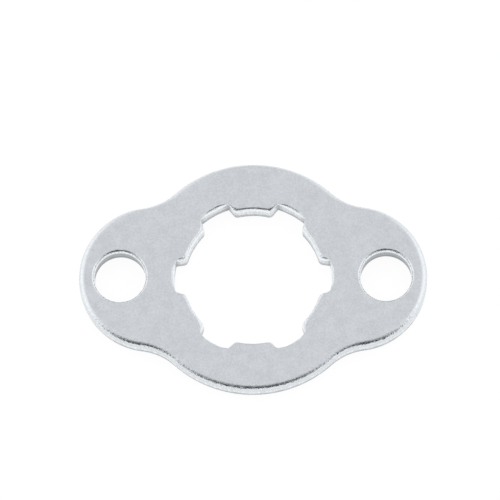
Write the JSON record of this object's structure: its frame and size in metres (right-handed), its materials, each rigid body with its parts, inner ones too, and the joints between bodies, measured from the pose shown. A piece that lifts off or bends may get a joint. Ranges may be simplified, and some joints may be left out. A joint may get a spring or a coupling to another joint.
{
  "type": "splined retainer washer",
  "caption": "Flat stamped steel retainer washer with a splined centre opening and an ear with a bolt hole at either end; it keeps a sprocket on its splined shaft.",
  "frame": {"origin": "centre of the splined opening on the lower, sheared face", "axes": "+Z through the plate towards the face with the rolled edges, +X from the opening to a bolt hole"},
  "size_m": [0.0446, 0.03, 0.003],
  "materials": {
    "zinc_plated_steel": "satin zinc plate with rolled, polished edges"
  },
  "bodies": {
    "root": {"retainer_plate": "zinc_plated_steel"}
  },
  "joints": []
}
